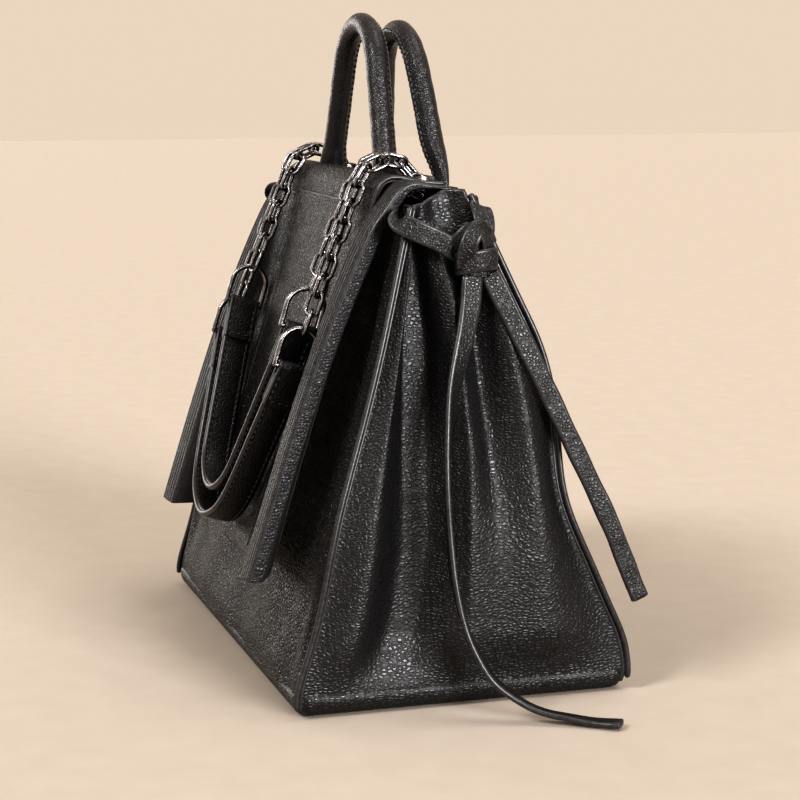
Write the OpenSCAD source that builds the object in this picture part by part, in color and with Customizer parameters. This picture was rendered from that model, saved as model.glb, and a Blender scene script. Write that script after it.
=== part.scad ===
// Satchel bag: a soft leather bag with a front flap, two tube handles, side ties
// and a doubled shoulder strap of chain and leather bands.
// X is the width, -Y the front and +Z up. The origin is the middle of the base.

/* [Body] */
// Height of the front panel's top edge
body_height = 298; // [294:1:302]
// Thickness of the leather walls
wall = 3; // [2.5:0.1:3.5]
// Thickness of the lining
lining_t = 1; // [0.8:0.1:1.2]
// Height of the smooth band round the base
welt_height = 6; // [5:1:9]

/* [Flap] */
// Half width of the flap
flap_half = 132; // [128:1:136]
// Half width of the flap's smooth middle sheet
sheet_half = 104; // [102:1:108]
// Half width of the panel sewn on the middle of the flap
overlay_half = 60; // [50:1:64]
// Thickness of the flap's leather
flap_leather = 2.5; // [2:0.1:3]
// Thickness of the flap's lining
flap_lining_t = 1.5; // [1:0.1:2]

/* [Handles] */
// Diameter of the handle tubes
handle_d = 14; // [12:0.5:14.5]
// Diameter of the rope inside the handles
rope_d = 9; // [7:0.5:10]
// Radius of the handle's arch
arch_r = 40; // [38:1:42]
// Half angle of the handle's arch
arch_half = 70; // [68:1:72]

/* [Strap] */
// Width of the leather bands
band_w = 20; // [18:1:20]
// Thickness of the leather bands
band_t = 4; // [3:0.5:4.5]
// Wire diameter of the chain links
wire_d = 2.6; // [2.4:0.1:2.7]
// Outer length of a chain link
link_len = 18; // [18:0.1:18.4]
// Outer width of a chain link
link_w = 12; // [11.5:0.1:12]

/* [Ties] */
// Width of the tie straps
tie_w = 13; // [11:0.5:14]
// Thickness of the tie straps
tie_t = 4; // [3:0.5:4.5]

/* [Zip pocket] */
// Length of the zip
zip_len = 170; // [150:5:190]

/* [Hidden] */
$fn = 48;

// Outer faces of the body: front and back as [y, z], the right side as [x, z]
front_line = [[-104, 0], [-81, 110], [-48, 220], [-27, body_height]];
back_line = [[102, 0], [74, 110], [46, 220], [8, 305]];
side_line = [[172, 0], [174, 110], [161, 220], [147, 308]];
piping_r = 1.8;
base_t = 3;
board_t = 2;
facing_h = 36;
in_face = wall + lining_t;

// Outer face of the flap's middle sheet and of its thick borders, as [y, z]
flap_line = [[7, 310.5], [-12, 312], [-24, 315], [-31, 313.5], [-36, 307.5],
  [-39, 297.5], [-107, 75]];
border_out = [[7, 309], [-10, 310.5], [-24, 312], [-32, 303.5], [-44, 290], [-55, 270],
  [-84, 200], [-125, 75]];
border_in = [[7, 306.5], [-10, 307], [-21, 307], [-27, 300], [-36, 288], [-44, 270],
  [-70, 200], [-104, 75]];
slot = [83.5, -4.4, 9.5, 7.3];      // chain slot: centre x and y, half of its straight, end radius

// Handles: height of the arch's centre, the fold line, and the lean of the plane
front_arch = [-17, 367, 318, -1.7];
rear_arch = [17.5, 363, 306, 5.4];
handle_r = handle_d / 2;

// Strap: it hangs in a plane that lies along the flap
strap_pos = [-36.1, 307];
strap_tilt = 17;
strap_gap = 3.5;
chain_off = 6.5;
pitch = 12;
strand_x = [76, 87.5];
strand_links = [6, 8];
strand_lean = [5.6, 4.2];
bar_z = [-96, -120];
bar_x = [75.5, 87];
band_r = [42, 56];
band_bottom = [-214, -232];
band_splay = [21.5, 24.5];
ring_wire = 3.2;
ring_r = 11.9;
band_mid = -strap_gap - band_w / 2;

// Chain over the crest: centre of its arc, radius, and angle of its first joint
crest_centre = [-23, 304];
crest_r = 19.9;
crest_start = 165.7;
crest_step = 2 * asin(pitch / 2 / crest_r);
crest_roll = [-45, 45, -45, 55, -25];

// Zip: where it sits on the back lining, and how far the wall leans there
zip_pos = [33.3, 238.4];
zip_lean = 24.1;
slider_x = 12 - zip_len / 2;
pull_pos = [zip_pos[0] - 5.1 * cos(zip_lean), zip_pos[1] - 5.1 * sin(zip_lean)];

// Routes of the ties on the right side, from the knot to the free end
knot = [163, 7, 268];
tail_long = [[167, 4, 259], [170, 2, 243], [175, -4, 220], [179, -11, 195],
  [184, -16, 170], [188, -18, 145], [191, -18, 120], [194, -17, 95], [198, -14, 70],
  [203, -7, 46], [208, 4, 26], [214, 20, 12], [222, 38, 5], [232, 55, 3], [243, 70, 3]];
tail_long_turn = [0, 5, 15, 35, 60, 75, 80, 80, 75, 70, 75, 85, 90, 90, 90];
tail_short = [[165, 16, 259], [168, 22, 246], [171, 30, 229], [174, 39, 210],
  [176, 49, 189], [178, 59, 168], [180, 69, 147], [182, 79, 126], [184, 88, 106],
  [185, 97, 84], [186, 106, 62]];
tail_short_turn = [for (p = tail_short) 0];
tie_front = [[134, -33, 291], [145, -35.5, 291], [155, -35.8, 289.5], [161, -25, 284],
  [161.5, -12, 278], [161, 0, 271]];
tie_back = [[134, 16.3, 298], [146, 19, 298], [155, 20.5, 297], [161.5, 17, 288],
  [161.5, 11, 274]];

// Lines and outlines

function unit(v) = v / norm(v);
function left(v) = [-v[1], v[0]];
function reverse(p) = [for (i = [len(p) - 1:-1:0]) p[i]];
function mitre(a, b, c, t) =
  let (n = left(unit(b - a)), m = unit(n + left(unit(c - b)))) b + m * t / (m * n);
// A line moved sideways by t, to the left of its direction
function shift_line(p, t) =
  let (n = len(p) - 1)
  [for (i = [0:n])
    i == 0 ? p[0] + left(unit(p[1] - p[0])) * t :
    i == n ? p[n] + left(unit(p[n] - p[n - 1])) * t :
    mitre(p[i - 1], p[i], p[i + 1], t)];
// The outline between two parallels of a line
function between(p, t0, t1) = concat(shift_line(p, t0), reverse(shift_line(p, t1)));
function mirror_x(p) = [for (q = p) [-q[0], q[1]]];
// Half width of the body at height z
function side_at(z) = lookup(z, [for (q = side_line) [q[1], q[0]]]);
function body_yz(t) = concat(shift_line(front_line, -t), reverse(shift_line(back_line, t)));
function body_xz(t) =
  let (p = shift_line(side_line, t)) concat(p, reverse(mirror_x(p)));

// An outline in [y, z], extruded along X
module across(outline, x0, x1) {
  translate([x0, 0, 0]) rotate([90, 0, 90]) linear_extrude(x1 - x0) polygon(outline);
}
// An outline in [x, z], extruded along Y
module through(outline, y0, y1) {
  translate([0, y1, 0]) rotate([90, 0, 0]) linear_extrude(y1 - y0) polygon(outline);
}
module layer(z0, z1) {
  translate([-250, -200, z0]) cube([500, 400, z1 - z0]);
}
module mirrored() {
  mirror([1, 0, 0]) children();
}

// Body

module body_solid(t, z0, z1) {
  intersection() {
    across(body_yz(t), -250, 250);
    through(body_xz(t), -200, 200);
    layer(z0, z1);
  }
}
module base_panel() {
  color("#1b1a1c") intersection() {
    body_solid(0, 0, base_t);
    translate([-172, -104, 0]) cube([344, 206, base_t]);
  }
}
module base_board() {
  color("#6b5a45") body_solid(wall + 0.2, base_t, base_t + board_t);
}
module base_welt() {
  color("#121214") difference() {
    translate([-175.5, -106, 0]) cube([351, 210, welt_height]);
    body_solid(0, -1, welt_height + 1);
    translate([-172, -104, -1]) cube([344, 206, base_t + 1]);
  }
}
module front_panel() {
  color("#1e1d20") intersection() {
    across(between(front_line, 0, -wall), -250, 250);
    through(body_xz(0), -200, 200);
    layer(base_t, 400);
  }
}
module back_panel() {
  color("#1e1d20") intersection() {
    across(between(back_line, 0, wall), -250, 250);
    through(body_xz(0), -200, 200);
    layer(base_t, 400);
  }
}
module gusset_right() {
  color("#232225") intersection() {
    through(between(side_line, 0, wall), -200, 200);
    across(body_yz(wall), -250, 250);
    layer(base_t, 400);
  }
}
// A piped seam up one edge of the body, laid against the corner
module piping(face, side) {
  off = 0.76 * piping_r;
  line = [for (i = [0:3])
    [side_at(face[i][1]) + off, face[i][0] + side * off, max(face[i][1], welt_height + 0.8)]];
  color("#141416") sweep(line, [0, 0, 0, 0], round_section(2 * piping_r), [1, 0, 0]);
}
module facing(face, t0, t1) {
  color("#1b1a1c") intersection() {
    across(between(face, t0, t1), -250, 250);
    through(body_xz(wall), -200, 200);
    layer(face[3][1] - facing_h, 400);
  }
}
module lining() {
  top = body_height - facing_h - 1;
  color("#4a4038") difference() {
    body_solid(wall, base_t + board_t, top);
    body_solid(in_face, base_t + board_t + lining_t, top + 10);
    zip_cut();
  }
}
module zip_cut() {
  at_zip() translate([-zip_len / 2, -3, -3]) cube([zip_len, 2, 6]);
}

// Zipped pocket on the back lining

module at_zip() {
  translate([0, zip_pos[0], zip_pos[1]]) rotate([zip_lean, 0, 0]) children();
}
module pocket_bag() {
  color("#51463d") intersection() {
    across(between(back_line, in_face, in_face + 2), -zip_len / 2 - 5, zip_len / 2 + 5);
    layer(120, 226);
  }
}
module zip_tape() {
  color("#26221f") at_zip() difference() {
    translate([-zip_len / 2 - 5, -0.8, -11]) cube([zip_len + 10, 0.8, 22]);
    translate([-zip_len / 2, -2, -1]) cube([zip_len, 4, 2]);
  }
}
module zip_teeth() {
  color("#6f6a66") at_zip() translate([-zip_len / 2, -2.2, -2]) cube([zip_len, 1.4, 4]);
}
module zip_slider() {
  color("#77726e") at_zip() translate([slider_x, 0, 0]) difference() {
    union() {
      translate([-6, -4.2, -3.6]) cube([12, 3, 7.2]);
      translate([-2.5, -7, -3]) cube([5, 3, 6]);
    }
    translate([-7, -2.6, -2.4]) cube([14, 2, 4.8]);
    translate([-3, -5.8, -1.9]) cube([6, 1.4, 3.8]);
  }
}
module zip_pull() {
  color("#77726e") translate([slider_x, 0, 0]) difference() {
    union() {
      translate([-3.6, pull_pos[0] - 0.5, pull_pos[1] - 26]) cube([7.2, 1, 20]);
      for (x = [-4.6, 3]) translate([x, pull_pos[0] - 0.5, pull_pos[1] - 8]) cube([1.6, 1, 8]);
      translate([-4.6, pull_pos[0], pull_pos[1]]) rotate([0, 90, 0]) cylinder(r = 0.6, h = 9.2);
    }
    translate([0, 5 + pull_pos[0], pull_pos[1] - 21]) rotate([90, 0, 0]) cylinder(r = 1.8, h = 10);
  }
}

// Flap

module slot_shape(r, h) {
  for (x = [-slot[2], slot[2]]) translate([x, 0, 0]) cylinder(r = r, h = h);
  translate([-slot[2], -r, 0]) cube([2 * slot[2], 2 * r, h]);
}
module both_slots(r, z0, z1) {
  for (x = [-slot[0], slot[0]]) translate([x, slot[1], z0]) slot_shape(r, z1 - z0);
}
module sheet_layer(t0, t1) {
  difference() {
    across(between(flap_line, t0, t1), -sheet_half, sheet_half);
    both_slots(slot[3], 295, 320);
  }
}
module flap_hinge_strip() {
  color("#1a191b") intersection() {
    across(between(back_line, -2.2, 0), -flap_half, flap_half);
    layer(276, 304.8);
  }
}
module flap_sheet() {
  color("#2a292d") sheet_layer(0, flap_leather);
}
module flap_lining() {
  color("#3c342e") sheet_layer(flap_leather, flap_leather + flap_lining_t);
}
module flap_overlay() {
  color("#252428") intersection() {
    across(between(flap_line, -1.5, 0), -overlay_half, overlay_half);
    layer(70, 296);
  }
}
module flap_border_right() {
  color("#242327") across(concat(border_out, reverse(border_in)), sheet_half, flap_half);
}
module eyelet() {
  color("#4b4a4f") difference() {
    translate([slot[0], slot[1], 305]) union() {
      slot_shape(slot[3], 8.4);
      slot_shape(slot[3] + 1.4, 1.6);
      translate([0, 0, 5]) slot_shape(slot[3] + 1.4, 3);
    }
    translate([slot[0], slot[1], 300]) slot_shape(slot[3] - 1, 20);
    sheet_layer(0, flap_leather + flap_lining_t);
  }
}
module chain_bar() {
  color("#4b4a4f")
    translate([slot[0] - 13, crest_joint(5)[1] - 0.2, crest_joint(5)[2] + 1.6])
    rotate([0, 90, 0]) cylinder(r = 1.5, h = 26);
}
module eyelets() {
  eyelet();
  mirrored() eyelet();
}
module chain_bars() {
  chain_bar();
  mirrored() chain_bar();
}

// Chain

module link(r = wire_d / 2) {
  half = link_w / 2 - r;
  run = link_len / 2 - link_w / 2;
  for (s = [-1, 1]) translate([0, 0, s * run])
    rotate([90, 0, 0]) rotate_extrude(angle = s * 180) translate([half, 0]) circle(r, $fn = 24);
  for (s = [-1, 1]) translate([s * half, 0, -run]) cylinder(r = r, h = 2 * run, $fn = 24);
}
// Joint i of the chain over the crest, counted from the strap's hinge
function crest_joint(i) =
  let (a = crest_start - i * crest_step)
  [0, crest_centre[0] + crest_r * cos(a), crest_centre[1] + crest_r * sin(a)];
module crest_strand(x, flip) {
  for (i = [0:4]) {
    m = (crest_joint(i) + crest_joint(i + 1)) / 2;
    a = crest_start - (i + 0.5) * crest_step;
    translate([x, m[1], m[2]]) rotate([a, 0, 0]) rotate([0, 0, flip * crest_roll[i] + 90]) link();
  }
}
module chain_crest_right() {
  color("#3a3a3f") crest_strand(strand_x[0], 1);
  color("#3a3a3f") crest_strand(strand_x[1], 1);
}
// The strap's own frame: -Z runs down the flap and -Y stands out from it
module on_flap() {
  translate([0, strap_pos[0], strap_pos[1]]) rotate([-strap_tilt, 0, 0]) children();
}
// Every second link lies the other way, and the last turns to take the ring
function strand_roll(i, n) = i == strand_links[n] - 1 ? -10 : i % 2 == 0 ? 45 : -45;
module strand(n) {
  color("#3a3a3f") on_flap() translate([strand_x[n], -chain_off, 0])
    rotate([-strand_lean[n], 0, 0]) for (i = [0:strand_links[n] - 1])
      translate([0, 0, -pitch * (i + 0.5)]) rotate([0, 0, strand_roll(i, n)]) link();
}

// Rings, bands and end tabs of the strap

module ring(n) {
  run = ring_r + 2;
  color("#45454a") on_flap() translate([bar_x[n], band_mid, bar_z[n]]) {
    translate([0, 0, run]) rotate([90, 0, 90])
      rotate_extrude(angle = 180) translate([ring_r, 0]) circle(ring_wire / 2, $fn = 24);
    for (s = [-1, 1]) translate([0, s * ring_r, 0]) cylinder(d = ring_wire, h = run, $fn = 24);
    for (s = [-1, 1]) translate([0, s * ring_r, 0]) sphere(d = ring_wire, $fn = 24);
    translate([0, ring_r, 0]) rotate([90, 0, 0]) cylinder(d = ring_wire, h = 2 * ring_r, $fn = 24);
  }
}
// Middle line of a band, from one bar round the bottom to the other, as [x, z]
function band_line(n, gap) =
  let (r = band_r[n], c = band_bottom[n] + r, a = band_splay[n],
    top = [bar_x[n] - gap * sin(a), bar_z[n] - gap * cos(a)])
  concat([[-top[0], top[1]]],
    [for (t = [180 + a:(180 - 2 * a) / 16:360 - a]) [r * cos(t), c + r * sin(t)]],
    [top]);
module band_shape(n) {
  on_flap() through(between(band_line(n, 7), -band_t / 2, band_t / 2),
    -strap_gap - band_w, -strap_gap);
}
module tab(n) {
  difference() {
    on_flap() translate([bar_x[n], -strap_gap, bar_z[n]]) rotate([90, -180 + band_splay[n], 0])
      difference() {
        union() {
          cylinder(r = 4, h = band_w);
          translate([-4, 0, 0]) cube([8, 28, band_w]);
        }
        translate([0, 0, -1]) cylinder(r = 2, h = band_w + 2);
      }
    on_flap() through(between(band_line(n, 7), -band_t / 2, band_t / 2), -50, 10);
  }
}
module tabs(n) {
  tab_piece(n);
  mirrored() tab_piece(n);
}
module tab_piece(n) {
  color("#1c1b1e") tab(n);
}

// Handles

// Middle line of a handle, from 30 mm below one fold to 30 mm below the other
function handle_line(h) =
  let (run = h[1] + arch_r * cos(arch_half) - h[2] + 30,
    top = h[1] - h[2],
    foot = [arch_r * sin(arch_half) + run / tan(arch_half), 0, -30])
  concat([[-foot[0], 0, -30]],
    [for (a = [-arch_half:10:arch_half]) [arch_r * sin(a), 0, top + arch_r * cos(a)]],
    [foot]);
module handle(h, d) {
  line = handle_line(h);
  translate([0, h[0], h[2]]) rotate([h[3], 0, 0])
    sweep(line, [for (q = line) 0], round_section(d), [0, 1, 0]);
}
module cover(h) {
  color("#1f1e21") difference() {
    handle(h, handle_d);
    handle(h, rope_d);
    layer(0, h[2]);
  }
}
module rope(h) {
  color("#8a7a63") difference() {
    handle(h, rope_d);
    layer(0, h[2]);
  }
}
module front_foot_right() {
  color("#1f1e21") intersection() {
    difference() {
      handle(front_arch, handle_d);
      across(concat(flap_line, [[7, 75]]), -250, 250);
    }
    translate([30, -60, 290]) cube([80, 80, front_arch[2] - 290.4]);
  }
}
module rear_foot_right() {
  color("#1f1e21") intersection() {
    difference() {
      handle(rear_arch, handle_d);
      across(concat([[-50, 0]], shift_line(back_line, -2.2), [[-50, 308]]), -250, 250);
    }
    translate([30, 0, 270]) cube([80, 60, rear_arch[2] - 270.4]);
  }
}

// Side ties

// Section of a flat strap: a rectangle with its corners cut off
function flat_section(w, t) =
  [[w / 2, t / 5], [w / 2 - 1.2, t / 2], [1.2 - w / 2, t / 2], [-w / 2, t / 5],
   [-w / 2, -t / 5], [1.2 - w / 2, -t / 2], [w / 2 - 1.2, -t / 2], [w / 2, -t / 5]];
function round_section(d) = [for (a = [0:30:330]) [cos(a), sin(a)] * d / 2];
function along(p, i) = unit(p[min(i + 1, len(p) - 1)] - p[max(i - 1, 0)]);
function ring_at(p, i, a, section, ref) =
  let (d = along(p, i), u = unit(ref - d * (d * ref)), v = cross(d, u),
    wide = v * cos(a) + u * sin(a), thick = cross(d, wide))
  [for (q = section) p[i] + wide * q[0] + thick * q[1]];
// A section swept along a route; turns holds its twist at each point
module sweep(p, turns, section, ref) {
  n = len(p);
  m = len(section);
  rings = [for (i = [0:n - 1]) each ring_at(p, i, turns[i], section, ref)];
  sides = [for (i = [0:n - 2], k = [0:m - 1], up = [0, 1])
    up == 0 ? [m * i + k, m * i + m + k, m * i + (k + 1) % m] :
      [m * i + (k + 1) % m, m * i + m + k, m * i + m + (k + 1) % m]];
  caps = [[for (k = [0:m - 1]) k], [for (k = [m - 1:-1:0]) m * (n - 1) + k]];
  polyhedron(rings, concat(sides, caps), convexity = 6);
}
module strap(p, turns, w, t) {
  sweep(p, turns, flat_section(w, t), [1, 0, 0]);
}
module tie_front_right() {
  color("#1d1c1f") strap(tie_front, [0, 0, 0, 0, 0, 0], tie_w, 3);
}
module tie_back_right() {
  color("#1d1c1f") strap(tie_back, [0, 0, 0, 0, 0], tie_w, 3);
}
module tie_knot_right() {
  color("#1a191c") translate(knot) rotate([90, 0, 0]) translate([0, 0, -11])
    union() {
      translate([0, 0, 3]) cylinder(r = 8, h = 16);
      cylinder(r1 = 5, r2 = 8, h = 3);
      translate([0, 0, 19]) cylinder(r1 = 8, r2 = 5, h = 3);
    }
}
module tie_tail_long_right() {
  color("#1d1c1f") strap(tail_long, tail_long_turn, tie_w, tie_t);
}
module tie_tail_short_right() {
  color("#1d1c1f") strap(tail_short, tail_short_turn, tie_w, tie_t);
}

base_panel();
base_board();
base_welt();
front_panel();
back_panel();
gusset_right();
mirrored() gusset_right();  // gusset_left
piping(front_line, -1);  // piping_front_right
mirrored() piping(front_line, -1);  // piping_front_left
piping(back_line, 1);  // piping_back_right
mirrored() piping(back_line, 1);  // piping_back_left
facing(front_line, -in_face - 0.5, -wall);  // front_facing
facing(back_line, wall, in_face + 0.5);  // back_facing
lining();
pocket_bag();
zip_tape();
zip_teeth();
zip_slider();
zip_pull();
flap_hinge_strip();
flap_sheet();
flap_lining();
flap_overlay();
flap_border_right();
mirrored() flap_border_right();  // flap_border_left
eyelets();
chain_bars();
chain_crest_right();
mirrored() chain_crest_right();  // chain_crest_left
front_foot_right();
mirrored() front_foot_right();  // front_foot_left
cover(front_arch);  // front_handle_cover
rope(front_arch);  // front_handle_rope
rear_foot_right();
mirrored() rear_foot_right();  // rear_foot_left
cover(rear_arch);  // rear_handle_cover
rope(rear_arch);  // rear_handle_rope
strand(0);  // chain_inner_right
mirrored() strand(0);  // chain_inner_left
strand(1);  // chain_outer_right
mirrored() strand(1);  // chain_outer_left
ring(0);  // ring_inner_right
mirrored() ring(0);  // ring_inner_left
ring(1);  // ring_outer_right
mirrored() ring(1);  // ring_outer_left
color("#1c1b1e") band_shape(0);  // band_inner
color("#1c1b1e") band_shape(1);  // band_outer
tabs(0);  // tabs_inner
tabs(1);  // tabs_outer
tie_front_right();
tie_back_right();
tie_knot_right();
tie_tail_long_right();
tie_tail_short_right();
mirrored() tie_front_right();  // tie_front_left
mirrored() tie_back_right();  // tie_back_left
mirrored() tie_knot_right();  // tie_knot_left
mirrored() tie_tail_long_right();  // tie_tail_long_left
mirrored() tie_tail_short_right();  // tie_tail_short_left
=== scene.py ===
"""Satchel bag: the visible leather, cloth and metal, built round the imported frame.

Lengths inside the helpers are in millimetres, and every mesh is made in metres.
"""
import math

import bmesh
import bpy
import numpy as np
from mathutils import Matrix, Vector


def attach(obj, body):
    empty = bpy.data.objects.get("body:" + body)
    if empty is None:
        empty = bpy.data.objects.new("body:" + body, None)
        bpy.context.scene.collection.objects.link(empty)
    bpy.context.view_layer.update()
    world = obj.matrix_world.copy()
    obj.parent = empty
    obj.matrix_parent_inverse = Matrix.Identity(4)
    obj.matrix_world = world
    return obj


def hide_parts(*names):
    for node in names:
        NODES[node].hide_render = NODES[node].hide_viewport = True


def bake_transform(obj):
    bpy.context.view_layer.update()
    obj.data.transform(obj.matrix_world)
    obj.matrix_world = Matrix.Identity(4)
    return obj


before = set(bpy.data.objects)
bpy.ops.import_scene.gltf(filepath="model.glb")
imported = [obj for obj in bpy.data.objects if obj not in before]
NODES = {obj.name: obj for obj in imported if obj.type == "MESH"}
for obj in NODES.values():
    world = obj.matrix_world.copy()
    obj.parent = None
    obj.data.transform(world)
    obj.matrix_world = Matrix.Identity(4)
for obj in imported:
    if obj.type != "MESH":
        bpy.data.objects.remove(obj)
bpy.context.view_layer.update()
MM = 0.001
RIM_STEPS = 4


# ---------------------------------------------------------------- lines and numbers

def unit(v):
    v = np.asarray(v, float)
    return v / np.maximum(np.linalg.norm(v, axis=-1, keepdims=True), 1e-9)


def ramp(x, a, b):
    t = np.clip((np.asarray(x, float) - a) / (b - a), 0, 1)
    return t * t * (3 - 2 * t)


def hump(x, centre, width):
    return np.exp(-(((x - centre) / width) ** 2))


def turned(degrees):
    """The cosine and the sine of an angle in degrees."""
    a = math.radians(degrees)
    return math.cos(a), math.sin(a)


def cubic(t, y, at):
    """Natural cubic spline through (t, y), read at the places `at`."""
    t = np.asarray(t, float)
    y = np.asarray(y, float)
    at = np.asarray(at, float)
    n = len(t)
    h = np.diff(t)
    a = np.eye(n)
    r = np.zeros_like(y)
    for i in range(1, n - 1):
        a[i, i - 1:i + 2] = h[i - 1], 2 * (h[i - 1] + h[i]), h[i]
        r[i] = 6 * ((y[i + 1] - y[i]) / h[i] - (y[i] - y[i - 1]) / h[i - 1])
    m = np.linalg.solve(a, r)
    k = np.clip(np.searchsorted(t, at) - 1, 0, n - 2)
    u = at - t[k]
    w = t[k + 1] - at
    hk = h[k]
    if y.ndim > 1:
        u, w, hk = u[..., None], w[..., None], hk[..., None]
    low = y[k] / hk - m[k] * hk / 6
    high = y[k + 1] / hk - m[k + 1] * hk / 6
    return m[k] * w**3 / (6 * hk) + m[k + 1] * u**3 / (6 * hk) + low * w + high * u


def chord(p):
    return np.r_[0, np.cumsum(np.linalg.norm(np.diff(p, axis=0), axis=1))]


def resample(points, count, extra=None):
    """Equal steps along a smooth curve through the points; `extra` is carried along."""
    p = np.array(points, float)
    t = chord(p)
    at = np.linspace(0, t[-1], 500)
    fine = cubic(t, p, at)
    s = chord(fine)
    want = np.interp(np.linspace(0, s[-1], count), s, at)
    out = cubic(t, p, want)
    if extra is None:
        return out
    return out, np.interp(want, t, np.array(extra, float))


def mirror(p):
    q = np.array(p, float)
    q[..., 0] *= -1
    return q


# ---------------------------------------------------------------- mesh making

def added(name, data):
    """A new object in the scene."""
    obj = bpy.data.objects.new(name, data)
    bpy.context.scene.collection.objects.link(obj)
    return obj


def make(name, points, faces, mats, index=None):
    mesh = bpy.data.meshes.new(name)
    mesh.from_pydata((np.asarray(points, float) * MM).tolist(), [], faces)
    for m in mats:
        mesh.materials.append(m)
    mesh.polygons.foreach_set("use_smooth", [True] * len(mesh.polygons))
    if index is not None:
        mesh.polygons.foreach_set("material_index", index)
    work = bmesh.new()
    work.from_mesh(mesh)
    bmesh.ops.recalc_face_normals(work, faces=work.faces)
    work.to_mesh(mesh)
    work.free()
    return added(name, mesh)


def grid_normals(p, wrap=False):
    du = np.gradient(p, axis=0)
    if wrap:
        dv = (np.roll(p, -1, axis=1) - np.roll(p, 1, axis=1)) / 2
    else:
        dv = np.gradient(p, axis=1)
    return unit(np.cross(du, dv)), unit(du), unit(dv)


def tube_faces(n, m, closed=False, wrap=True):
    """Faces between n rings of m points; `closed` joins the last ring to the first."""
    rows = [(i * m, (i + 1) % n * m) for i in range(n if closed else n - 1)]
    cols = [(k, (k + 1) % m) for k in range(m if wrap else m - 1)]
    return [(a + k, b + k, b + q, a + q) for a, b in rows for k, q in cols]


def shifted(faces, base):
    return [tuple(base + i for i in f) for f in faces]


def slab(name, p, t, mats, flip=False, wrap=False):
    """A closed sheet of thickness t behind the grid p, with a rounded edge all round."""
    n, m = p.shape[:2]
    nor, du, dv = grid_normals(p, wrap)
    if flip:
        nor = -nor
    points = [p.reshape(-1, 3), (p - nor * t).reshape(-1, 3)]
    face = tube_faces(n, m, wrap=wrap)
    faces = face + shifted(face, n * m)
    index = [0] * len(face) + [2] * len(face)
    start = 2 * n * m
    for loop in edge_loops(n, m, wrap):
        ids = [[i * m + j for i, j in loop]]
        for ring in rim_rings(p, nor, du, dv, t / 2, loop, wrap):
            points.append(ring)
            ids.append(list(range(start, start + len(loop))))
            start += len(loop)
        ids.append([n * m + i * m + j for i, j in loop])
        for a, b in zip(ids[:-1], ids[1:]):
            for k in range(len(loop)):
                q = (k + 1) % len(loop)
                faces.append((a[k], a[q], b[q], b[k]))
                index.append(1)
    return make(name, np.concatenate(points), faces, mats, index)


def edge_loops(n, m, wrap):
    if wrap:
        return [[(0, j) for j in range(m)], [(n - 1, j) for j in range(m)]]
    loop = [(0, j) for j in range(m)] + [(i, m - 1) for i in range(1, n)]
    loop += [(n - 1, j) for j in range(m - 2, -1, -1)] + [(i, 0) for i in range(n - 2, 0, -1)]
    return [loop]


def rim_rings(p, nor, du, dv, half, loop, wrap):
    """The points of a sheet's rounded edge, ring by ring from one face to the other."""
    n, m = p.shape[:2]
    out = []
    for i, j in loop:
        b = np.zeros(3)
        b += -du[i, j] if i == 0 else (du[i, j] if i == n - 1 else 0)
        if not wrap:
            b += -dv[i, j] if j == 0 else (dv[i, j] if j == m - 1 else 0)
        out.append(unit(b))
    out = np.array(out)
    at = np.array([p[i, j] for i, j in loop])
    no = np.array([nor[i, j] for i, j in loop])
    rings = []
    for k in range(1, RIM_STEPS):
        a = math.pi * k / RIM_STEPS
        rings.append(at - no * half * (1 - math.cos(a)) + out * half * math.sin(a))
    return rings


def end_faces(n, m):
    return [tuple(range(m)), tuple(range((n - 1) * m, n * m))]


def sweep(name, path, section, ref, mats, turn=0, tags=None, round_ends=0.0):
    """A section in (wide, thick) swept along a path. Sections may change along it."""
    path = np.asarray(path, float)
    sec = np.asarray(section, float)
    if sec.ndim == 2:
        sec = np.broadcast_to(sec, (len(path),) + sec.shape)
    wide, thick, d = frames(path, ref, turn)
    if round_ends:
        path, sec, wide, thick = rounded(path, sec, wide, thick, d, round_ends)
    n, m = sec.shape[:2]
    rings = path[:, None] + wide[:, None] * sec[..., :1] + thick[:, None] * sec[..., 1:]
    index = list(tags or [0] * m) * (n - 1) + [len(mats) - 1] * 2
    return make(name, rings.reshape(-1, 3), tube_faces(n, m) + end_faces(n, m), mats, index)


def frames(path, ref, turn=0):
    """The wide, thick and forward directions along a path."""
    d = unit(np.gradient(path, axis=0))
    ref = np.asarray(ref, float)
    u = unit(ref - d * (d @ ref)[:, None])
    v = np.cross(d, u)
    a = np.radians(np.broadcast_to(np.asarray(turn, float), len(path)))[:, None]
    wide = v * np.cos(a) + u * np.sin(a)
    return wide, np.cross(d, wide), d


def rounded(path, sec, wide, thick, d, r):
    """Adds three shrinking sections at both ends."""
    steps = [(r * s, 1 - (1 - c) * 0.75) for c, s in map(turned, (75, 50, 25))]
    k = [0] * 3 + list(range(len(path))) + [len(path) - 1] * 3
    path = np.concatenate([[path[0] - d[0] * away for away, _ in steps], path,
                           [path[-1] + d[-1] * away for away, _ in steps[::-1]]])
    sec = np.concatenate([[sec[0] * keep for _, keep in steps], sec,
                          [sec[-1] * keep for _, keep in steps[::-1]]])
    return path, sec, wide[k], thick[k]


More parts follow.
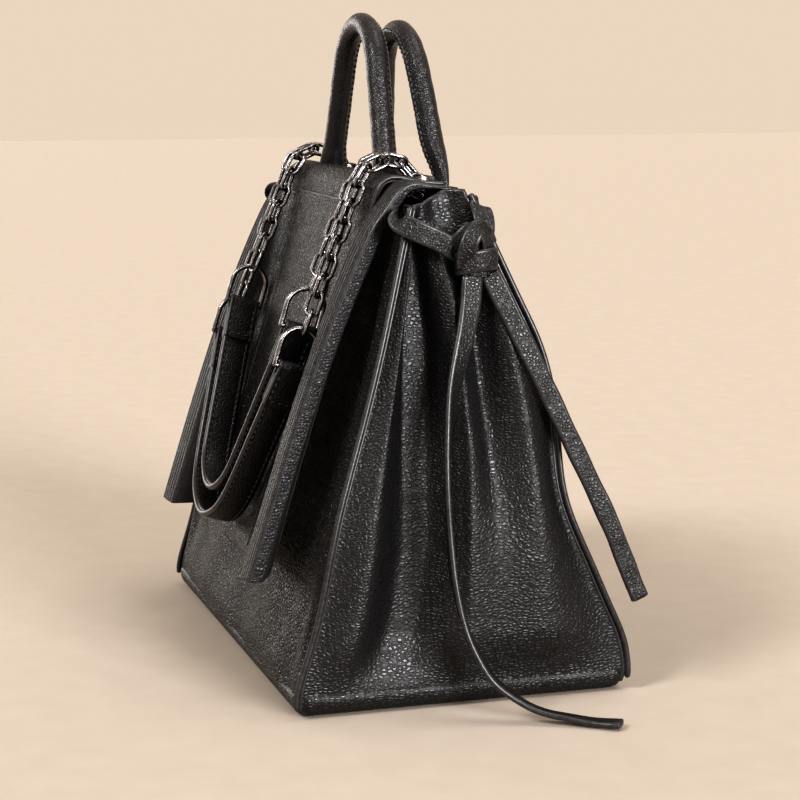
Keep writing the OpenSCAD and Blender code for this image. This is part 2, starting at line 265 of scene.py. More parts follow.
def flat_section(w, t, groove=0.0, inset=3.2):
    """A flat strap's section: rounded edges, and a shallow stitch groove near both."""
    r = t / 2
    face = [w / 2 - r - 0.2, w / 2 - inset + 0.9, w / 2 - inset, w / 2 - inset - 0.9, 0.0]
    drop = [0.0, 0.0, groove, 0.0, -0.12]
    half = [(x, r - g) for x, g in zip(face, drop)]
    top = half + [(-x, y) for x, y in half[3::-1]]
    edge = [(-(w / 2 - r) - r * math.sin(a), r * math.cos(a)) for a in np.linspace(0, math.pi, 6)[1:-1]]
    low = [(-x, -y) for x, y in top]
    other = [(-x, -y) for x, y in edge]
    points = top + edge + low + other
    tags = [0] * (len(top) - 1) + [1] * (len(edge) + 1)
    tags += [0] * (len(low) - 1) + [1] * (len(other) + 1)
    return np.array(points), tags


def round_section(r, n=24, ridges=()):
    """A round section with narrow raised ridges at the angles given, in degrees."""
    out = []
    for k in range(n):
        a = 2 * math.pi * k / n
        rr = r
        for at, high, wide in ridges:
            off = (math.degrees(a) - at + 180) % 360 - 180
            rr += high * math.exp(-((off / wide) ** 2))
        out.append((rr * math.cos(a), rr * math.sin(a)))
    return np.array(out)


def stitches(name, path, normal, mat, length=2.8, gap=1.3, width=0.75, rise=0.25):
    """A row of thread stitches along a path that lies on a surface."""
    path = np.asarray(path, float)
    normal = np.broadcast_to(np.asarray(normal, float), path.shape)
    s = chord(path)
    count = max(1, int(s[-1] / (length + gap)))
    points = []
    faces = []

    def read(rows, c):
        return np.array([np.interp(c, s, rows[:, k]) for k in range(3)])

    for c in (np.arange(count) + 0.5) * s[-1] / count:
        at = read(path, c)
        no = unit(read(normal, c))
        d = unit(read(path, c + 0.4) - read(path, c - 0.4))
        side = unit(np.cross(no, d))
        base = len(points)
        for u, size, lift in ((-0.5, 0.35, -0.5), (-0.36, 0.95, 0.1), (0, 1, 0.35),
                              (0.36, 0.95, 0.1), (0.5, 0.35, -0.5)):
            middle = at + d * u * length + no * (rise + lift * rise * 2)
            for k in range(6):
                a = math.pi * k / 3
                points.append(middle + (no * math.sin(a) + side * math.cos(a)) * size * width / 2)
        faces += shifted(tube_faces(5, 6) + end_faces(5, 6), base)
    return make(name, points, faces, [mat])


def join(name, objs):
    """Joins meshes into one piece, keeping their materials."""
    mats = []
    points, faces, index = [], [], []
    for o in objs:
        base = len(points)
        slots = []
        for m in o.data.materials:
            if m not in mats:
                mats.append(m)
            slots.append(mats.index(m))
        points += [tuple(v.co / MM) for v in o.data.vertices]
        faces += shifted([f.vertices for f in o.data.polygons], base)
        index += [slots[f.material_index] for f in o.data.polygons]
        bpy.data.objects.remove(o)
    return make(name, points, faces, mats, index)


def finish_piece(obj, body, nodes=()):
    """Fixes a piece to its body and hides the frame nodes it stands for."""
    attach(obj, body)
    if nodes:
        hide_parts(*nodes)


# ---------------------------------------------------------------- materials

def new_material(name):
    mat = bpy.data.materials.new(name)
    mat.use_nodes = True
    tree = mat.node_tree
    tree.nodes.clear()
    out = tree.nodes.new("ShaderNodeOutputMaterial")
    bsdf = tree.nodes.new("ShaderNodeBsdfPrincipled")
    tree.links.new(bsdf.outputs[0], out.inputs[0])
    return mat, tree, bsdf


def place(tree, scale=(1, 1, 1)):
    coord = tree.nodes.new("ShaderNodeTexCoord")
    mapping = tree.nodes.new("ShaderNodeMapping")
    mapping.inputs["Scale"].default_value = scale
    tree.links.new(coord.outputs["Object"], mapping.inputs["Vector"])
    return mapping.outputs[0]


def noise_of(tree, vector, scale, detail=3.0):
    node = tree.nodes.new("ShaderNodeTexNoise")
    node.inputs["Scale"].default_value = scale
    node.inputs["Detail"].default_value = detail
    node.inputs["Roughness"].default_value = 0.55
    tree.links.new(vector, node.inputs["Vector"])
    return node.outputs[0]


def remap(tree, value, a, b, lo, hi):
    node = tree.nodes.new("ShaderNodeMapRange")
    for k, v in enumerate((a, b, lo, hi)):
        node.inputs[k + 1].default_value = v
    tree.links.new(value, node.inputs[0])
    return node.outputs[0]


def combine(tree, kind, a, b):
    node = tree.nodes.new("ShaderNodeMath")
    node.operation = kind
    for k, v in enumerate((a, b)):
        if isinstance(v, (int, float)):
            node.inputs[k].default_value = v
        else:
            tree.links.new(v, node.inputs[k])
    return node.outputs[0]


def blend_colours(tree, factor, a, b):
    node = tree.nodes.new("ShaderNodeMix")
    node.data_type = "RGBA"
    node.inputs["A"].default_value = (*a, 1)
    node.inputs["B"].default_value = (*b, 1)
    tree.links.new(factor, node.inputs["Factor"])
    return node.outputs["Result"]


def bumped(tree, bsdf, height, distance):
    node = tree.nodes.new("ShaderNodeBump")
    node.inputs["Distance"].default_value = distance
    node.inputs["Strength"].default_value = 1.0
    tree.links.new(height, node.inputs["Height"])
    tree.links.new(node.outputs[0], bsdf.inputs["Normal"])


def leather(name, high, low, cell, depth, rough, stretch=(1, 1, 1)):
    """Pebbled leather: cells `cell` mm across, rounded, with duller creases that are darkened by painted
    shade.
    """
    mat, tree, bsdf = new_material(name)
    at = place(tree, stretch)
    warp = noise_of(tree, at, 260 / cell, 2.0)
    shift = tree.nodes.new("ShaderNodeVectorMath")
    shift.operation = "MULTIPLY_ADD"
    tree.links.new(warp.node.outputs["Color"], shift.inputs[0])
    shift.inputs[1].default_value = (0.0011 * cell,) * 3
    tree.links.new(at, shift.inputs[2])
    cells = tree.nodes.new("ShaderNodeTexVoronoi")
    cells.feature = "DISTANCE_TO_EDGE"
    cells.inputs["Scale"].default_value = 1000 / cell
    cells.inputs["Randomness"].default_value = 0.85
    tree.links.new(shift.outputs[0], cells.inputs["Vector"])
    pebble = remap(tree, cells.outputs["Distance"], 0.0, 0.32, 0.0, 1.0)
    tree.nodes[-1].interpolation_type = "SMOOTHSTEP"
    fine = noise_of(tree, at, 2600, 3.0)
    broad = noise_of(tree, at, 60, 4.0)
    height = combine(tree, "ADD", pebble, combine(tree, "MULTIPLY", fine, 0.18))
    height = combine(tree, "ADD", height, combine(tree, "MULTIPLY", broad, 0.35))
    bumped(tree, bsdf, height, depth * MM)
    # Painted shade: the colour falls towards `low` in the creases between the pebbles; the broad noise adds
    # random tone.
    crease_shade_and_tone = remap(tree, pebble, 0.0, 0.6, 0.0, 1.0)
    crease_shade_and_tone = combine(tree, "MULTIPLY", crease_shade_and_tone, remap(tree, broad, 0.3, 0.7, 0.75, 1.0))
    tree.links.new(blend_colours(tree, crease_shade_and_tone, low, high), bsdf.inputs["Base Color"])
    dull = combine(tree, "ADD", remap(tree, pebble, 0.0, 1.0, rough + 0.2, rough),
                   remap(tree, broad, 0.3, 0.7, 0.06, -0.04))
    tree.links.new(dull, bsdf.inputs["Roughness"])
    bsdf.inputs["Specular IOR Level"].default_value = 0.36
    return mat


def metal(name, colour, dark, rough):
    """Polished dark metal with fine scratches and tarnish."""
    mat, tree, bsdf = new_material(name)
    at = place(tree)
    broad = noise_of(tree, at, 170, 4.0)
    lines = noise_of(tree, place(tree, (1, 1, 9)), 900, 2.0)
    mix = remap(tree, broad, 0.35, 0.65, 0.0, 1.0)
    tree.links.new(blend_colours(tree, mix, dark, colour), bsdf.inputs["Base Color"])
    dull = combine(tree, "ADD", remap(tree, broad, 0.3, 0.7, rough + 0.12, rough),
                   remap(tree, lines, 0.3, 0.7, 0.0, 0.08))
    tree.links.new(dull, bsdf.inputs["Roughness"])
    bsdf.inputs["Metallic"].default_value = 1.0
    bumped(tree, bsdf, combine(tree, "ADD", broad, lines), 0.00006)
    return mat


def cloth(name, high, low, thread=0.55):
    """Plain woven cloth: threads over and under, `thread` mm apart, with painted shade where the weave dips.
    """
    mat, tree, bsdf = new_material(name)
    at = place(tree)
    parts = tree.nodes.new("ShaderNodeSeparateXYZ")
    tree.links.new(at, parts.inputs[0])
    step = 2 * math.pi / (thread * 2 * MM)
    across = combine(tree, "SINE", combine(tree, "MULTIPLY", parts.outputs[0], step), 0)
    depth = combine(tree, "ADD", parts.outputs[1], parts.outputs[2])
    along = combine(tree, "SINE", combine(tree, "MULTIPLY", depth, step), 0)
    weave = combine(tree, "MULTIPLY", across, along)
    slub = noise_of(tree, at, 500, 3.0)
    height = combine(tree, "ADD", remap(tree, weave, -1, 1, 0, 1), slub)
    bumped(tree, bsdf, height, 0.00016)
    # Painted shade: the colour falls towards `low` where the weave dips between threads; the slub noise adds
    # random tone.
    mix = remap(tree, height, 0.4, 1.6, 0.0, 1.0)
    tree.links.new(blend_colours(tree, mix, low, high), bsdf.inputs["Base Color"])
    tree.links.new(remap(tree, slub, 0.3, 0.7, 0.75, 0.92), bsdf.inputs["Roughness"])
    bsdf.inputs["Sheen Weight"].default_value = 0.25
    return mat


def painted_edge(name):
    """Cut leather edge, filled and painted: smooth, with slight waves."""
    mat, tree, bsdf = new_material(name)
    at = place(tree)
    waves = noise_of(tree, at, 420, 3.0)
    mix = remap(tree, waves, 0.3, 0.7, 0.0, 1.0)
    tree.links.new(blend_colours(tree, mix, (0.010, 0.009, 0.010), (0.024, 0.022, 0.025)),
                   bsdf.inputs["Base Color"])
    tree.links.new(remap(tree, waves, 0.3, 0.7, 0.30, 0.44), bsdf.inputs["Roughness"])
    bumped(tree, bsdf, waves, 0.00012)
    return mat


def floor_material():
    mat, tree, bsdf = new_material("floor")
    grain = noise_of(tree, place(tree), 40, 3.0)
    mix = remap(tree, grain, 0.3, 0.7, 0.0, 1.0)
    tree.links.new(blend_colours(tree, mix, (0.36, 0.315, 0.27), (0.375, 0.33, 0.285)),
                   bsdf.inputs["Base Color"])
    bsdf.inputs["Roughness"].default_value = 0.9
    bsdf.inputs["Specular IOR Level"].default_value = 0.1
    return mat


# The second colour of each leather is the painted shade that darkens its creases.
BLACK_AND_CREASE_SHADE = ((0.0125, 0.0115, 0.0130), (0.002, 0.002, 0.002))
GRAIN = leather("pebbled_leather", *BLACK_AND_CREASE_SHADE, 2.5, 0.22, 0.28, (1, 0.8, 1.25))
FRONT_GRAIN = leather("pebbled_leather_front", *BLACK_AND_CREASE_SHADE, 2.6, 1.0, 0.30, (0.7, 1, 1.35))
SOFT = leather("satin_leather", (0.016, 0.0148, 0.0170), (0.007, 0.0065, 0.0075), 1.2, 0.14, 0.24)
ROLLED = leather("rolled_leather", (0.018, 0.0168, 0.0190), (0.006, 0.0055, 0.006), 1.6, 0.12, 0.17)
STRAP = leather("strap_leather", (0.0130, 0.0120, 0.0135), (0.003, 0.003, 0.003), 2.0, 0.22, 0.26)
SUEDE = leather("inside_leather", (0.030, 0.026, 0.024), (0.014, 0.012, 0.011), 0.7, 0.10, 0.62)
EDGE = painted_edge("edge_paint")
# The second colour of each cloth is the painted shade between its threads, also reached as random tone where
# the slub noise is low.
THREAD = cloth("thread", (0.060, 0.056, 0.060), (0.016, 0.015, 0.016), 0.3)
LINING = cloth("lining_cloth", (0.105, 0.082, 0.064), (0.050, 0.038, 0.030))
TAPE = cloth("zip_tape_cloth", (0.020, 0.018, 0.018), (0.008, 0.007, 0.007), 0.4)
BOARD = cloth("base_board_fibre", (0.22, 0.165, 0.115), (0.13, 0.095, 0.065), 1.2)
ROPE = cloth("rope_cotton", (0.42, 0.36, 0.27), (0.25, 0.21, 0.15), 1.4)
GUN = metal("gunmetal", (0.30, 0.29, 0.30), (0.12, 0.118, 0.12), 0.11)
ZIP = metal("zip_metal", (0.42, 0.40, 0.38), (0.28, 0.27, 0.26), 0.24)


# ---------------------------------------------------------------- camera and light

CAMERA_AT = (1.3157, -0.4003, 0.3829)
CAMERA_TURN, CAMERA_RISE = 72.6, 9.23
LENS = 93.8


def camera():
    data = bpy.data.cameras.new("camera")
    data.sensor_width = 36
    data.lens = LENS
    data.clip_end = 20
    obj = added("camera", data)
    obj.location = CAMERA_AT
    a, e = math.radians(CAMERA_TURN), math.radians(CAMERA_RISE)
    back = Vector((math.sin(a) * math.cos(e), -math.cos(a) * math.cos(e), math.sin(e)))
    obj.rotation_euler = back.to_track_quat("Z", "Y").to_euler()
    bpy.context.scene.camera = obj


def sun(name, at, strength, angle):
    """A broad, even light from the direction `at`; `angle` is how wide it looks, in degrees."""
    data = bpy.data.lights.new(name, "SUN")
    data.energy = strength
    data.angle = math.radians(angle)
    obj = added(name, data)
    obj.rotation_euler = Vector(at).to_track_quat("Z", "Y").to_euler()


PALE = (0.595, 0.50, 0.41)
DIM = (0.12, 0.105, 0.09)


def studio_world():
    """Pale all round, and dimmer toward the bag's right, so that its folds keep their shade."""
    world = bpy.data.worlds.new("world")
    world.use_nodes = True
    tree = world.node_tree
    coord = tree.nodes.new("ShaderNodeTexCoord")
    facing_way = tree.nodes.new("ShaderNodeVectorMath")
    facing_way.operation = "DOT_PRODUCT"
    facing_way.inputs[1].default_value = (0.86, 0.5, 0.0)
    tree.links.new(coord.outputs["Generated"], facing_way.inputs[0])
    shade = remap(tree, facing_way.outputs["Value"], 0.5, 1.0, 0.0, 1.0)
    tone = blend_colours(tree, shade, PALE, DIM)
    tree.links.new(tone, tree.nodes["Background"].inputs[0])
    bpy.context.scene.world = world


def light_and_floor():
    studio_world()
    bpy.context.scene.view_settings.view_transform = "Standard"
    bpy.context.scene.view_settings.look = "High Contrast"
    sun("key", (0.42, -1.0, 0.95), 2.0, 16)
    sun("top", (0.1, 0.3, 1.0), 1.0, 30)
    sun("sheen", (0.95, 0.30, 0.25), 4.6, 26)
    sun("left", (-0.93, -0.42, 0.10), 0.8, 30)
    grid = np.array([[(x, y, 0) for y in (-9000, 0, 9000)] for x in (-9000, 0, 9000)], float)
    faces = [(0, 3, 4, 1), (1, 4, 5, 2), (3, 6, 7, 4), (4, 7, 8, 5)]
    floor = make("floor", grid.reshape(-1, 3) - (0, 0, 0.3), faces, [floor_material()])


camera()
light_and_floor()


# ---------------------------------------------------------------- side ties

TAIL_LONG = [(167, 4, 259), (170, 2, 243), (175, -4, 220), (179, -11, 195), (184, -16, 170),
             (188, -18, 145), (191, -18, 120), (194, -17, 95), (198, -14, 70), (203, -7, 46),
             (208, 4, 26), (214, 20, 12), (222, 38, 5), (232, 55, 3), (243, 70, 3)]
TAIL_LONG_TURN = [0, 5, 15, 35, 60, 75, 80, 80, 75, 70, 75, 85, 90, 90, 90]
TAIL_SHORT = [(165, 16, 259), (168, 22, 246), (171, 30, 229), (174, 39, 210), (176, 49, 189),
              (178, 59, 168), (180, 69, 147), (182, 79, 126), (184, 88, 106), (185, 97, 84),
              (186, 106, 62)]
TIE_FRONT = [(134, -33, 291), (145, -35.5, 291), (155, -35.8, 289.5), (161, -25, 284),
             (161.5, -12, 278), (161, 0, 271)]
TIE_BACK = [(134, 14.5, 298), (146, 14, 298), (155, 13.5, 296.5), (161, 13.5, 288),
            (161.5, 11, 274)]
TIE_W, TIE_T = 13.0, 3.6


def tail(name, route, turn, node, flip):
    """A free end of a tie. It hangs from the knot and is cut off square at its end."""
    pts, turn = resample(route, 72, turn)
    pts = mirror(pts) if flip else pts
    turn = -turn if flip else turn
    section, tags = flat_section(TIE_W, TIE_T)
    n = len(pts)
    full = np.broadcast_to(section, (n,) + section.shape).copy()
    along = np.linspace(0, 1, n)
    full[..., 0] *= (1 - 0.10 * ramp(along, 0.0, 0.5) + 0.03 * np.sin(along * 37))[:, None]
    full[..., 1] += (0.30 * np.sin(along * 61) * ramp(along, 0.4, 1.0))[:, None]
    full[..., 1] += 0.05 * full[..., 0] * np.sin(along * 19)[:, None]
    obj = sweep(name, pts, full, (1, 0, 0), [STRAP, EDGE], turn=turn, tags=tags, round_ends=1.2)
    finish_piece(obj, "root", [node])


for side, sign in (("right", False), ("left", True)):
    tail("tie_long_" + side, TAIL_LONG, TAIL_LONG_TURN, "tie_tail_long_" + side, sign)
    tail("tie_short_" + side, TAIL_SHORT, [0] * 11, "tie_tail_short_" + side, sign)


# ---------------------------------------------------------------- body of the bag

FRONT = np.array([(-6, -105.2), (16, -104), (32, -99.5), (55, -92.5), (110, -81), (165, -64.5), (220, -48),
                  (259, -37.5), (300, -26.5)])
BACK = np.array([(-6, 103.5), (16, 103.5), (34, 100.0), (55, 91), (80, 81.5), (110, 73), (165, 59), (220, 46),
                 (238.4, 37.8), (262, 27.2), (307, 7.1)])
SIDE = np.array([(-6, 172), (55, 173), (110, 173.6), (165, 167.8), (220, 161), (264, 154), (310, 146.7)])
BAND_TOP = 13.0
TUCK = 6.5
WALL_LOW = 6.0
WALL_T = 3.0
FRONT_TOP, BACK_TOP = 298, 305


def front_y(z):
    return cubic(FRONT[:, 0], FRONT[:, 1], z)


def back_mid(z):
    return cubic(BACK[:, 0], BACK[:, 1], z)


def back_y(z):
    """The back seams: they pull in above the base, where the sides sag."""
    return back_mid(z) - 8.5 * hump(z, 122, 38)


def side_x(z):
    return cubic(SIDE[:, 0], SIDE[:, 1], z)


def tuck(z):
    """How far the walls turn in towards the base at height z."""
    t = np.clip(1 - z / BAND_TOP, 0, 1)
    return TUCK * (1 - np.sqrt(1 - t * t * 0.96))


def front_skin(x, z):
    """Outer face of the front panel: a soft roll by each seam, hollow under the flap."""
    edge = side_x(z) - np.abs(x)
    y = front_y(z) + tuck(z)
    y = y - 4.2 * hump(edge, 11, 7.5) * ramp(edge, 0, 5) * ramp(z, 300, 250) * ramp(z, 0, 60)
    y = y + 4.5 * ramp(edge, 16, 40) * ramp(z, 60, 130) * ramp(z, 292, 250)
    low = ramp(z, 112, 60) * ramp(z, 2, 26) * ramp(edge, 8, 50)
    y = y - 4.5 * low
    y = y + low * (1.0 * np.sin(x / 23 + z / 31) + 0.5 * np.sin(x / 11.3 - z / 17 + 1.0))
    return y


def back_skin(x, z):
    """Outer face of the back panel: soft rolls by the seams and shallow slack folds."""
    edge = side_x(z) - np.abs(x)
    y = back_y(z) + (back_mid(z) - back_y(z)) * ramp(edge, 0, 55) - tuck(z)
    y = y + 3.6 * hump(edge, 12, 8) * ramp(edge, 0, 6) * ramp(z, 296, 240) * ramp(z, 0, 60)
    free = ramp(z, 232, 190) * ramp(z, 5, 60) * ramp(edge, 10, 60)
    y = y + free * (2.0 * np.sin(x / 46 + 0.6 + z / 80) + 1.2 * np.sin(x / 21 - z / 37))
    return y - 2.5 * ramp(edge, 25, 80) * ramp(z, 228, 150) * ramp(z, 20, 70)


def fold_line(y, stops):
    """Soft rises and falls between the stops, each (place, height)."""
    d = stops[0][1] + 0 * y
    for (start, low), (end, high) in zip(stops, stops[1:]):
        d = d + (high - low) * ramp(y, start, end)
    return d


def gusset_folds(y, z, sign):
    """How far the side stands out or in: long soft folds that run down from the tie."""
    yf, yb = front_y(z), back_y(z)
    s = np.clip((y - yf) / (yb - yf), 0, 1)
    span = yb - yf
    down = ramp(z, 300, 268) * ramp(z, 11, 48)
    valley = np.interp(z, [20, 60, 98, 157, 198, 245, 290], [-50, -38, -32, -31, -30, -27, -23])
    ridge = np.interp(z, [0, 34, 96, 155, 226, 273, 300], [-6, 0, 0, 1, -5, -11, -14])
    dip = np.interp(z, [0, 60, 120, 226, 290], [20, 20, 18, 9, 2])
    second = np.interp(z, [0, 60, 123, 183, 231, 290], [58, 48, 42, 35, 25, 12])
    flat = 0.5 + 9.0 * ramp(z, 292, 200)
    deep = -13.5 + 5.0 * ramp(z, 110, 20)
    stops = [(yf + 1, 0), (yf + 0.42 * (valley - yf), 6.0 * ramp(z, 296, 262)),
             (valley - 0.4 * flat, deep), (valley + flat, deep), (ridge, 8.5 * ramp(z, 292, 240)),
             (dip, 7.5 - 11.5 * ramp(z, 70, 210)), (second, 10.0 * ramp(z, 285, 215)), (yb - 1, -1.0)]
    d = fold_line(y, stops)
    small = np.interp(z, [200, 227, 256, 285], [-10, -13, -17, -20])
    d = d + 3.4 * hump(y, small, 3.4) * ramp(z, 205, 235)
    d = d + 0.9 * np.sin(y / 5.2 + z / 60 * sign) * ramp(z, 120, 250) * ramp(z, 300, 285)
    d = d * down
    d = d - 7.0 * hump(y, -8, 13) * ramp(z, 250, 296) - 0.5 * np.sin(s * 21) * ramp(z, 262, 300)
    return d * ramp(s * span, 0, 7) * ramp((1 - s) * span, 0, 8)


def top_z(s):
    """Height of the side's top edge, from its front seam (0) to its back seam (1)."""
    return 298.5 + 8.5 * ramp(s, 0.0, 0.75)


def on_skin(kind, x, z, off=0.0):
    """Points on a panel's outer face, or on the face `off` inside it."""
    x, z = np.broadcast_arrays(np.asarray(x, float), z)
    y = front_skin(x, z) + off if kind == "front" else back_skin(x, z) - off
    return np.stack([x, y, z], axis=-1)


def panel_grid(kind, top, nu, nv):
    """Points of the front or back panel's outer face."""
    z = WALL_LOW + (top - WALL_LOW) * np.linspace(0, 1, nv)[None, :]
    return on_skin(kind, np.linspace(-1, 1, nu)[:, None] * (side_x(z) - tuck(z) - 0.8), z)


def side_grid(sign, nu, nv):
    """Points of a side's outer face."""
    u = np.linspace(0, 1, nu)[:, None]
    z = WALL_LOW + (top_z(u) - WALL_LOW) * np.linspace(0, 1, nv)[None, :]
    yf, yb = front_y(z) + tuck(z) + 2.0, back_y(z) - tuck(z) - 2.0
    y = yf + (yb - yf) * u
    x = side_x(z) - tuck(z) + gusset_folds(y, z, sign)
    return np.stack([sign * x, y, z + 0 * x], axis=-1)


def walls():
    mats = [GRAIN, EDGE, SUEDE]
    grid = panel_grid("front", FRONT_TOP, 190, 150)
    front = slab("front_wall", grid, WALL_T, [FRONT_GRAIN, EDGE, SUEDE])
    back = slab("back_wall", panel_grid("back", BACK_TOP, 170, 130), WALL_T, mats, flip=True)
    finish_piece(front, "root", ["front_panel"])
    finish_piece(back, "root", ["back_panel"])
    for name, sign in (("right", 1), ("left", -1)):
        side = slab("side_wall_" + name, side_grid(sign, 170, 200), WALL_T, mats, flip=sign < 0)
        finish_piece(side, "root", ["gusset_" + name])


def seam_line(face, sign, z):
    y = front_y(z) + tuck(z) if face == "front" else back_y(z) - tuck(z)
    out = -1.3 if face == "front" else 1.3
    return np.stack([sign * (side_x(z) - tuck(z) + 0.9), y + out, z], axis=-1)


def piping_seams():
    for name, sign in (("right", 1), ("left", -1)):
        for face, top in (("front", FRONT_TOP), ("back", BACK_TOP)):
            line = seam_line(face, sign, np.linspace(9, top - 0.5, 90))
            tube = sweep(f"piping_{face}_{name}_cord", line, round_section(1.8, 14), (sign, 0, 0),
                         [EDGE], round_ends=1.2)
            finish_piece(tube, "root", [f"piping_{face}_{name}"])


def outline(z, out, radius=9.0, n=56):
    """The body's outline at height z, grown by `out`, as a closed loop with round corners."""
    w = side_x(z) + out
    yf, yb = front_y(z) - out, back_y(z) + out
    r = max(radius + out, 2.5)
    corners = [(w - r, yf + r, -90), (w - r, yb - r, 0), (-w + r, yb - r, 90), (-w + r, yf + r, 180)]
    arcs = [[(x + r * c, y + r * s, z) for c, s in map(turned, np.linspace(a, a + 90, 9))]
            for x, y, a in corners]
    points = []
    for arc, after in zip(arcs, arcs[1:] + arcs[:1]):
        points += arc + list(np.linspace(arc[-1], after[0], n + 2)[1:-1])
    return np.array(points)


def base():
    profile = [(14.2, 0.5), (12.6, 1.5), (10, 1.5), (7, 0.9), (4.5, -0.3), (2.4, -2.0), (0.9, -4.6),
               (0.0, -8.5), (0.0, -14.0)]
    ring = np.stack([outline(z, out) for z, out in profile])
    band = slab("base_band", ring, 1.5, [GRAIN, EDGE, SUEDE], wrap=True)
    finish_piece(band, "root", ["base_welt"])
    for name, z, thick, inset, mat, slot, node in (
            ("base_leather", 3.0, 3.0, 7.5, GRAIN, "body_leather", "base_panel"),
            ("base_stiffener", 5.2, 2.0, 8.5, BOARD, "board", "base_board")):
        ring = np.stack([outline(z, -inset) * (1, 1, 0) * (k, k, 0) + (0, 0, z)
                         for k in (0.02, 0.25, 0.5, 0.75, 1.0)])
        sheet = slab(name, ring, thick, [mat, EDGE if mat is GRAIN else mat, mat], wrap=True)
        finish_piece(sheet, "root", [node])


# ---------------------------------------------------------------- flap

FLAP = [(7, 310.5), (-3, 311.2), (-12, 312.6), (-20, 314.4), (-26, 314.7), (-31, 313.2), (-35, 309.5),
        (-37.6, 304), (-40.5, 292.6), (-48.5, 266.4), (-60.8, 226.3), (-76.1, 176.2), (-91.4, 126),
        (-107, 75)]
BORDER = [(7, 309), (-3, 310), (-12, 311.5), (-20, 312.4), (-26, 310.8), (-31.5, 306), (-37.5, 298),
          (-44.5, 289), (-54, 272), (-64, 250), (-74, 226), (-84, 200), (-97, 163), (-110, 123), (-125, 75)]
UNDER = [(7, 306.5), (-3, 306.9), (-11, 307.2), (-18, 307.1), (-22.5, 305.5), (-27, 300.3), (-31.5, 294.3),
         (-36.5, 287), (-44.5, 269), (-52, 249), (-60.5, 226), (-70, 200), (-80.6, 163), (-91.5, 123),
         (-104, 75)]
SLOT_AT, SLOT_HALF, SLOT_R = (83.5, -4.4), 9.5, 7.3


def flap_grid(x0, x1, off, nx, count, lo=0.0, hi=1.0):
    """Points on the flap's middle sheet between x0 and x1, `off` outside its face."""
    p = resample(FLAP, 400)
    d = unit(np.gradient(p, axis=0))
    s = np.linspace(0, 1, 400)
    v = np.linspace(lo, hi, count)
    x = np.linspace(x0, x1, nx)
    gy, gz, ny, nz = (np.interp(v, s, a) for a in (p[:, 0], p[:, 1], d[:, 1], -d[:, 0]))
    xx, vv = np.meshgrid(x, v, indexing="ij")
    lift = off + flap_wave(xx, vv)
    return np.stack([xx, gy + ny * lift, gz + nz * lift], axis=-1)


def flap_wave(x, v):
    """The middle of the flap hangs a little hollow, with faint slack in it."""
    free = ramp(v, 0.22, 0.45)
    low = -1.6 * free * (1 - (np.abs(x) / 104) ** 2)
    return low + free * (0.5 * np.sin(x / 23 + v * 5) + 0.35 * np.sin(x / 11 - v * 9))


def applied(obj):
    """Keeps what the object's modifiers make of its mesh."""
    bpy.context.view_layer.update()
    done = bpy.data.meshes.new_from_object(obj.evaluated_get(bpy.context.evaluated_depsgraph_get()))
    obj.modifiers.clear()
    obj.data = done


def cut_slots(obj):
    """Opens the two chain slots through a sheet."""
    for sign in (1, -1):
        ring = []
        for middle, start in ((SLOT_HALF, -90), (-SLOT_HALF, 90)):
            for a in np.radians(np.linspace(start, start + 180, 17)[:-1]):
                x = SLOT_AT[0] + middle + SLOT_R * math.cos(a)
                ring.append((sign * x, SLOT_AT[1] + SLOT_R * math.sin(a)))
        n = len(ring)
        pts = [(x, y, z) for z in (295, 325) for x, y in ring]
        tool = make("slot_tool", pts, tube_faces(2, n) + end_faces(2, n), [])
        mod = obj.modifiers.new("slot", "BOOLEAN")
        mod.operation = "DIFFERENCE"
        mod.object = tool
        mod.solver = "EXACT"
        applied(obj)
        bpy.data.objects.remove(tool)


def border(name, sign):
    """The gathered edge of the flap: pleats in front and a thick strip round the side."""
    count, inner, outer = 150, 107.5, 130.4
    out = resample(BORDER, count)
    low = resample(UNDER, count)
    v = np.linspace(0, 1, count)
    deep = np.linalg.norm(out - low, axis=1)
    inward = unit(low - out)
    strip = np.minimum(deep - 0.4, 10.0)
    pleat = 2.0 * ramp(v, 0.02, 0.10) * (1 - 0.55 * ramp(v, 0.25, 0.75))
    xs = np.linspace(inner, outer, 47)
    rings = []
    for i in range(count):
        fan = 1 + 0.10 * (1 - ramp(v[i], 0.10, 0.35)) * np.sin((xs - 104) / 28 * math.pi)
        u = (xs - inner) / (outer - inner)
        wave = np.abs(np.sin(math.pi * 4.5 * u ** fan)) ** 0.8
        side = 1.5 * (1 - u) ** 2 * ramp(v[i], 0.2, 0.5)
        front = pleat[i] * (0.55 - wave) + side
        ring = [(104.2, deep[i] - 2.5), (105.2, deep[i] * 0.55), (106.2, max(1.6, deep[i] * 0.2))]
        ring += list(zip(xs, front + 0.6))
        s = strip[i]
        ring += [(131.3, 0.7), (131.9, 1.3), (132.15, 2.1), (131.9, s * 0.5), (132.15, s - 1.4),
                 (131.8, s - 0.5), (131.0, s)]
        ring += [(124, s + (deep[i] - s) * 0.35), (114, s + (deep[i] - s) * 0.8), (104.2, deep[i])]
        rings.append([(sign * x, *(out[i] + inward[i] * d)) for x, d in ring])
    rings = np.array(rings)
    m = rings.shape[1]
    tags = [0] * (3 + len(xs)) + [1, 1, 2, 2, 1, 1] + [3] * 4
    faces = tube_faces(count, m) + end_faces(count, m)
    index = tags * (count - 1) + [3, 1]
    obj = make(name, rings.reshape(-1, 3), faces, [SOFT, EDGE, STRAP, SUEDE], index)
    bevel_end(obj)
    return obj


def bevel_end(obj):
    """Rounds the cut ends of a swept piece."""
    mod = obj.modifiers.new("round", "BEVEL")
    mod.width = 0.0011
    mod.segments = 3
    mod.limit_method = "ANGLE"
    mod.angle_limit = math.radians(50)
    applied(obj)
    obj.data.polygons.foreach_set("use_smooth", [True] * len(obj.data.polygons))


